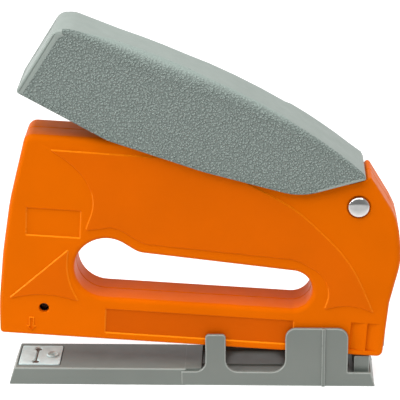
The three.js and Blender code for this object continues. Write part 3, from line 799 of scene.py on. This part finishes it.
def case_screw(node, centre, side, head, finish):
    """Pan-head screw with a cross recess, lying along y in the body."""
    tip, seat, rim, dome = -7.6, 6.3, 6.7, 0.9
    shank, point, crown = 1.1, 0.8, 0.1 * head
    profile = [(0, tip), (point, tip), (shank, tip + 0.4), (shank, seat), (head, seat)]
    profile += dome_profile(head, crown, rim, dome, 5)
    profile.append((0, rim + dome))
    skin = Skin(finish=finish)
    skin.turned(centre, [(radius, side * y) for radius, y in profile], 32)
    made = skin.object(f"{node}_skin")
    arm, half_slot = head * 0.55, 0.22
    recess = sorted((side * (rim + 0.2), side * 9))
    s, h = centre
    cut(made, box_cutter((s - arm, s + arm), recess, (h - half_slot, h + half_slot)))
    cut(made, box_cutter((s - half_slot, s + half_slot), recess, (h - arm, h + arm)))
    place(made, GUN, "gun_body", node)


def make_body():
    """Both halves of the body, the rivet and the screws that hold them together."""
    half_shell(-1)
    half_shell(1)
    pivot_rivet()
    case_screw("front_case_screw", FRONT_WELL, -1, 1.7, GREASY_STEEL)
    for k, centre in enumerate(CASE_SCREWS):
        case_screw(f"case_screw_{k + 1}", centre, 1, 2.2, ZINC)


# ---------- handle ----------


def slope_frame():
    """Matrix from the handle's sloping end to the model: x up the slope, z outwards."""
    along = (SLOPE_TOP - SLOPE_FOOT).normalized()
    across = Vector((0, 1, 0))
    outwards = along.cross(across)
    turn = Matrix((along, across, outwards)).transposed().to_4x4()
    return GUN @ Matrix.Translation(SLOPE_FOOT) @ turn


def grain_ring(outline, rim):
    """Outline of a grained side: inside an even rim, further in along the sloping end."""
    return [point + SLOPE_NORMAL * (SLOPE_RIM if corner in SLOPE_ENDS else 0)
            for point, corner in zip(outline.ring(share=1, extra=rim), outline.owner)]


def handle_shell():
    """Handle moulding: leather-grained sides inside a smooth rim, grained shoulders."""
    skin = Skin(finish=SMOOTH_GREY)
    outline = Outline(HANDLE, step=2)
    smooth = (*SLOPE_ENDS, TAIL_CORNER)
    finishes = [SMOOTH_GREY if corner in smooth else LEATHER_GREY for corner in outline.owner]
    step_width, step_depth = 0.25, 0.12
    feet = []
    for side in (-1, 1):
        face = side * HANDLE_HALF
        rings = skin.rounded_edge(outline, face, side, steps=8, finish=finishes)
        rim = [skin.ring(grain_ring(outline, RIM), face),
               skin.ring(grain_ring(outline, RIM + step_width), face - side * step_depth)]
        skin.strips([rings[-1]] + rim, finishes)
        skin.fill(rim[-1], finish=LEATHER_GREY)
        feet.append(rings[0])
    skin.strip(*feet)
    made = skin.object("handle_shell_skin")
    hollow = Skin()
    hollow.plate(Outline(HANDLE_HOLLOW, step=6), -SKIRT_INNER, SKIRT_INNER, steps=1)
    cut(made, hollow.object("cutter"))
    cut(made, slope_cutter())
    place(made, GUN, "handle", "handle_shell", crease=28)


def slope_cutter():
    """Recess in the handle's sloping end, and a seam groove beside it on each side face."""
    margin, half, past_end, past_side = 2.2, 10.6, 2, 15
    seam_from, seam_to, seam_depth, seam_margin = -1.25, -1, 0.35, 1
    skin = Skin(PLAN_VIEW)
    skin.plate(rectangle(margin, SLOPE_LENGTH - margin, -half, half, radius=1.6),
               -END_RECESS, past_end, steps=1)
    for side in (-1, 1):
        seam = sorted((side * (HANDLE_HALF - seam_depth), side * past_side))
        skin.plate(rectangle(seam_margin, SLOPE_LENGTH - seam_margin, *seam, radius=0.1),
                   seam_from, seam_to, steps=1)
    cutter = skin.object("cutter")
    cutter.data.transform(GUN.inverted() @ slope_frame())
    return cutter


def handle_end_cap():
    """Snap-in cap in the handle's front end, with two latch windows."""
    margin, half = 2.5, 10.3
    top, bottom = -0.15, -END_RECESS + 0.05
    skin = Skin(PLAN_VIEW, SMOOTH_GREY)
    outline = rectangle(margin, SLOPE_LENGTH - margin, -half, half, radius=1.4, rounding=0.3)
    rim = skin.block(outline, bottom, top)
    window_half, window_sides = 2, (6.6, 8.2)
    windows = [rectangle(at - window_half, at + window_half, *window_sides, radius=0.4)
               for at in (11.5, 21.6)]
    # The windows are shallow pits whose dark floors are painted shade for the dark inside of a
    # latch window.
    sunk = [(0, 0), (0.05, -0.55)]
    skin.fill(rim, *[skin.relief(window, top, sunk, DARK) for window in windows])
    place(skin.object("handle_end_cap_skin"), slope_frame(), "handle", "handle_end_cap")


# ---------- base ----------


def base_arm(skin):
    """Front arm of the base: drafted sides, a sunk seat for the anvil on top."""
    front, back = box_mm("base_cradle")[0].x, -5.2
    front_draft, side_draft, ease = 2.1, 0.8, 0.25
    half = BASE_HALF - side_draft
    foot = rectangle(front, back, -BASE_HALF, BASE_HALF, radius=0.5)
    head = rectangle(front + front_draft, back, -half, half, radius=0.7, rounding=0.6)
    bottom = [skin.ring(foot.ring(extra=ease), 0), skin.ring(foot.ring(), ease)]
    # The arm's rounded top edge gets a painted highlight.
    top = skin.rounded_edge(head, ARM_TOP, 1, steps=4, finish=PAINTED_HIGHLIGHT_GREY)
    skin.strips(bottom + top[:1])
    skin.fill(bottom[0])
    low, high = box_mm("anvil_plate")
    margin = 0.5
    seat = rectangle(low.x - margin, high.x + margin, low.y - margin, high.y + margin, radius=1.3)
    sunk = [(0, 0), (0.12, -0.1), (0.16, -1.1)]
    skin.fill(top[-1], skin.relief(seat, ARM_TOP, sunk))


def base_walls(skin):
    """Side walls with the guide tab and the hinge tab, and the hinge's ribs and pins."""
    wall = Outline(BASE_WALL)
    tab_top = max(corner[1] for corner in BASE_WALL)
    hinge = Vector(joints["base_hinge"]["pos_m"]) / MM
    rib_half, rib_foot, ease = 0.7, 0.02, 0.3
    pin_radius, pin_tip, pin_root = 2.2, 9.9, 11.6
    rib = rectangle(hinge.x - rib_half, hinge.x + rib_half, rib_foot, tab_top, ease, ease)
    for side in (-1, 1):
        # The rounded edges of the walls and ribs get a painted highlight.
        skin.plate(wall, *sorted((side * CRADLE_HALF, side * BASE_HALF)), edge=PAINTED_HIGHLIGHT_GREY)
        rib_depths = sorted((side * (BASE_HALF - RIB_DEPTH), side * (BASE_HALF + RIB_DEPTH)))
        skin.plate(rib, *rib_depths, edge=PAINTED_HIGHLIGHT_GREY)
        pin = [(0, pin_tip), (pin_radius, pin_tip), (pin_radius, pin_root), (0, pin_root)]
        skin.turned((hinge.x, hinge.z), [(radius, side * y) for radius, y in pin], 32)


def base_floor(skin):
    """Cradle floor, its guide rail, the arm's root and the block that the body rests on."""
    inside = CRADLE_HALF + 0.1
    floor = Outline([(-6, 0.02, 0.1), (71, 0.02, 0.1), (69.6, 4.6, 0.1), (-6, 4.6, 0.1)])
    arm_root = rectangle(-7.5, 1, 1, ARM_TOP - 0.02, radius=0.3)
    guide_rail = rectangle(0, 61, 1, 5.1, radius=0.3, rounding=0.3)
    rest_block = rectangle(62.6, 68.8, 1, 12.3, radius=0.5, rounding=0.4)
    skin.plate(floor, -inside, inside, steps=1)
    skin.plate(arm_root, -inside, inside, steps=1)
    skin.plate(guide_rail, -3, 3)
    # The rest block's rounded edges get a painted highlight.
    skin.plate(rest_block, -10, 10, edge=PAINTED_HIGHLIGHT_GREY)


def base_cradle():
    """The whole base moulding: walls and floor drawn from the side, the arm from above."""
    skin = Skin(SIDE_VIEW, BASE_GREY)
    base_walls(skin)
    base_floor(skin)
    skin.view = PLAN_VIEW
    base_arm(skin)
    place(skin.object("base_cradle_skin"), MODEL, "base", "base_cradle")


def anvil_plate():
    """Steel anvil: a dumbbell pocket that turns the staple's legs, and the rivet's hole."""
    low, high = box_mm("anvil_plate")
    skin = Skin(PLAN_VIEW, ANVIL_STEEL)
    outline = rectangle(low.x, high.x, low.y, high.y, radius=1.0, rounding=0.15)
    rim = skin.block(outline, low.z, high.z)
    pocket_x = low.x + 6.8
    half_shape = [(1.7, 7.9, 1.5), (1.7, 4.9, 0.8), (0.7, 4.1, 0.6), (0.7, -4.1, 0.6),
                  (1.7, -4.9, 0.8), (1.7, -7.9, 1.5)]
    right = [(pocket_x + x, y, radius) for x, y, radius in half_shape]
    left = [(pocket_x - x, y, radius) for x, y, radius in reversed(half_shape)]
    wear_and_highlight = [(0, 0), (0.12, -0.1), (0.4, -0.6)]
    pocket = skin.relief(Outline(right + left), high.z, wear_and_highlight, GREASY_STEEL)
    rivet_low, rivet_high = box_mm("anvil_rivet")
    centre = ((rivet_low.x + rivet_high.x) / 2, 0)
    hole = skin.relief(circle(centre, 1.6), high.z, [(0, 0), (0.02, -0.95)])
    skin.fill(rim, pocket, hole)
    place(skin.object("anvil_plate_skin"), MODEL, "base", "anvil_plate")


def anvil_rivet():
    """Tubular rivet with a rolled head and a sunk middle."""
    low, high = box_mm("anvil_rivet")
    centre = ((low.x + high.x) / 2, 0)
    foot, head, bottom = low.z + 0.8, high.z - 0.8, low.z + 1
    flange, tube, bore = 2.5, 1.25, 1.1
    roll, roll_base, roll_height = 0.45, head + 0.1, 0.5
    profile = [(0, low.z), (flange, low.z), (flange, foot), (tube, foot), (tube, head)]
    for k in range(9):
        angle = math.pi * k / 8
        radius = flange - roll + roll * math.cos(angle)
        profile.append((radius, roll_base + roll_height * math.sin(angle)))
    profile += [(bore, head), (bore - 0.1, bottom), (0, bottom)]
    skin = Skin(PLAN_VIEW, ANVIL_STEEL)
    skin.turned(centre, profile, 40)
    place(skin.object("anvil_rivet_skin"), MODEL, "base", "anvil_rivet")


# ---------- magazine ----------


def staple_strip():
    """Staples glued side by side, each a bent wire."""
    front, back, pitch, wire = 12.75, 62.0, 0.6, 0.56
    half, low, high, thick = 6.4, 1.95, 8.4, 0.6
    ease, ease_length = 0.08, 0.1
    outline = Outline([
        (-half, low, 0.05), (-half, high, 0.5), (half, high, 0.5), (half, low, 0.05),
        (half - thick, low, 0.05), (half - thick, high - thick, 0.2),
        (thick - half, high - thick, 0.2), (thick - half, low, 0.05)], step=30)
    skin = Skin(END_VIEW, STAPLE_WIRE)
    for k in range(int((back - front) / pitch)):
        start = front + k * pitch
        rings = [skin.ring(outline.ring(extra=ease), start),
                 skin.ring(outline.ring(), start + ease_length),
                 skin.ring(outline.ring(), start + wire - ease_length),
                 skin.ring(outline.ring(extra=ease), start + wire)]
        skin.strips(rings)
        skin.fill(rings[0])
        skin.fill(rings[-1])
    place(skin.object("staple_strip_skin"), GUN, "magazine", "staple_strip")


def magazine_cap():
    """Rear cap that draws the magazine out, with a sunk finger grip."""
    front, back, half, low, high = 147.4, 155.1, 7.6, 1.9, 12.8
    skin = Skin(END_VIEW, DARK)
    outline = rectangle(-half, half, low, high, radius=1.0, rounding=0.7)
    rim = skin.block(outline, front, back, steps=4)
    grip = rectangle(-5, 5, 4.6, 9.4, radius=0.8)
    skin.fill(rim, skin.relief(grip, back, [(0, 0), (0.15, -0.1), (0.5, -1.4)]))
    place(skin.object("magazine_cap_skin"), GUN, "magazine", "magazine_cap")


# ---------- inner works carried over from the CAD ----------


def refinish(node, finish):
    """Gives a CAD node one finish in place of its own."""
    node.data.materials.clear()
    node.data.materials.append(finish)


def finish_inner_nodes():
    """Finishes for the CAD nodes that are shown as they are, their edges eased."""
    finishes = {
        "nose_guide": ZINC, "magazine_channel": ZINC, "lift_pin": ZINC,
        "spring_seat": DARK, "lift_lever": ZINC, "driver_blade": ANVIL_STEEL,
        "driver_carrier": DARK, "feed_rail": ZINC, "guide_rod": SPRING_STEEL,
        "pusher": DARK, "handle_lever": ZINC, "handle_roller": SPRING_STEEL,
        "roller_pin": ZINC, "pivot_bush": SPRING_STEEL,
    }
    for name, finish in finishes.items():
        node = nodes[name]
        refinish(node, finish)
        bevel = node.modifiers.new("eased_edges", "BEVEL")
        bevel.width = 0.12 * MM
        bevel.segments = 2
        bevel.limit_method = "ANGLE"
        bevel.angle_limit = math.radians(35)


def finish_springs():
    """Finish for the CAD springs, their wire made round."""
    for name in ("base_spring", "main_spring", "pusher_spring"):
        spring = nodes[name]
        refinish(spring, SPRING_STEEL)
        spring.data.shade_smooth()
        round_wire = spring.modifiers.new("round_wire", "SUBSURF")
        round_wire.levels = 1
        round_wire.render_levels = 1


# ---------- studio ----------


def make_camera():
    """Long-lens camera at the tool's left side, looking down on it at the photo's angle."""
    data = bpy.data.cameras.new("camera")
    data.lens = 180
    data.sensor_width = 36
    data.clip_end = 20
    made = bpy.data.objects.new("camera", data)
    azimuth, elevation, distance, roll = 2.0, 20.5, 0.797, 0.45
    a, e = math.radians(azimuth), math.radians(elevation)
    back = Vector((math.sin(a) * math.cos(e), -math.cos(a) * math.cos(e), math.sin(e)))
    target = Vector((0.5, 0, 75.5)) * MM
    made.location = target + back * distance
    facing = (-back).to_track_quat("-Z", "Y").to_matrix().to_4x4()
    facing = facing @ Matrix.Rotation(math.radians(-roll), 4, "Z")
    made.rotation_euler = facing.to_euler()
    bpy.context.scene.collection.objects.link(made)
    bpy.context.scene.camera = made


def make_floor():
    """White floor that glows from under the tool backwards, so that it shows no horizon."""
    reach = 3.0
    data = bpy.data.meshes.new("floor")
    corners = [(-reach, -reach, 0), (reach, -reach, 0), (reach, reach, 0), (-reach, reach, 0)]
    data.from_pydata(corners, [], [(0, 1, 2, 3)])
    floor = bpy.data.objects.new("floor", data)
    white = Finish("white_floor", (0.6, 0.6, 0.6), 0.8)
    white.shader.inputs["Emission Color"].default_value = (1, 1, 1, 1)
    depth = white.node("ShaderNodeSeparateXYZ")
    white.link(white.place, depth.inputs["Vector"])
    glow = white.ranged(depth.outputs["Y"], 0, 0.6, -0.16, -0.04)
    white.link(glow, white.shader.inputs["Emission Strength"])
    data.materials.append(white.material)
    bpy.context.scene.collection.objects.link(floor)


def make_surround():
    """White surround that is dimmer on the camera's side than behind the tool."""
    world = bpy.data.worlds.new("surround")
    bpy.context.scene.world = world
    world.use_nodes = True
    tree = world.node_tree
    background = tree.nodes["Background"]
    background.inputs["Color"].default_value = (1, 1, 1, 1)
    direction = tree.nodes.new("ShaderNodeTexCoord")
    split = tree.nodes.new("ShaderNodeSeparateXYZ")
    tree.links.new(direction.outputs["Generated"], split.inputs["Vector"])
    shade = tree.nodes.new("ShaderNodeMapRange")
    for key, value in (("From Min", -1), ("From Max", 0.3), ("To Min", 0.3), ("To Max", 0.8)):
        shade.inputs[key].default_value = value
    tree.links.new(split.outputs["Y"], shade.inputs["Value"])
    tree.links.new(shade.outputs["Result"], background.inputs["Strength"])


def soft_box(name, position, size, power):
    """A rectangular light that is aimed at the middle of the tool."""
    aim = Vector((0, 0, 0.07))
    data = bpy.data.lights.new(name, "AREA")
    data.shape = "RECTANGLE"
    data.size, data.size_y = size
    data.energy = power
    made = bpy.data.objects.new(name, data)
    made.location = position
    made.rotation_euler = (aim - Vector(position)).to_track_quat("-Z", "Y").to_euler()
    bpy.context.scene.collection.objects.link(made)


# ---------- build ----------

make_camera()
make_body()
handle_shell()
handle_end_cap()
base_cradle()
anvil_plate()
anvil_rivet()
staple_strip()
magazine_cap()
finish_inner_nodes()
finish_springs()
make_floor()
make_surround()
soft_box("key", (-0.75, -0.5, 0.7), (0.4, 0.4), 3)
soft_box("top", (0, -0.32, 0.86), (1.1, 0.8), 8.7)
soft_box("nose", (-0.8, -0.12, 0.32), (0.3, 0.3), 1.6)

bpy.context.scene.view_settings.view_transform = "Standard"
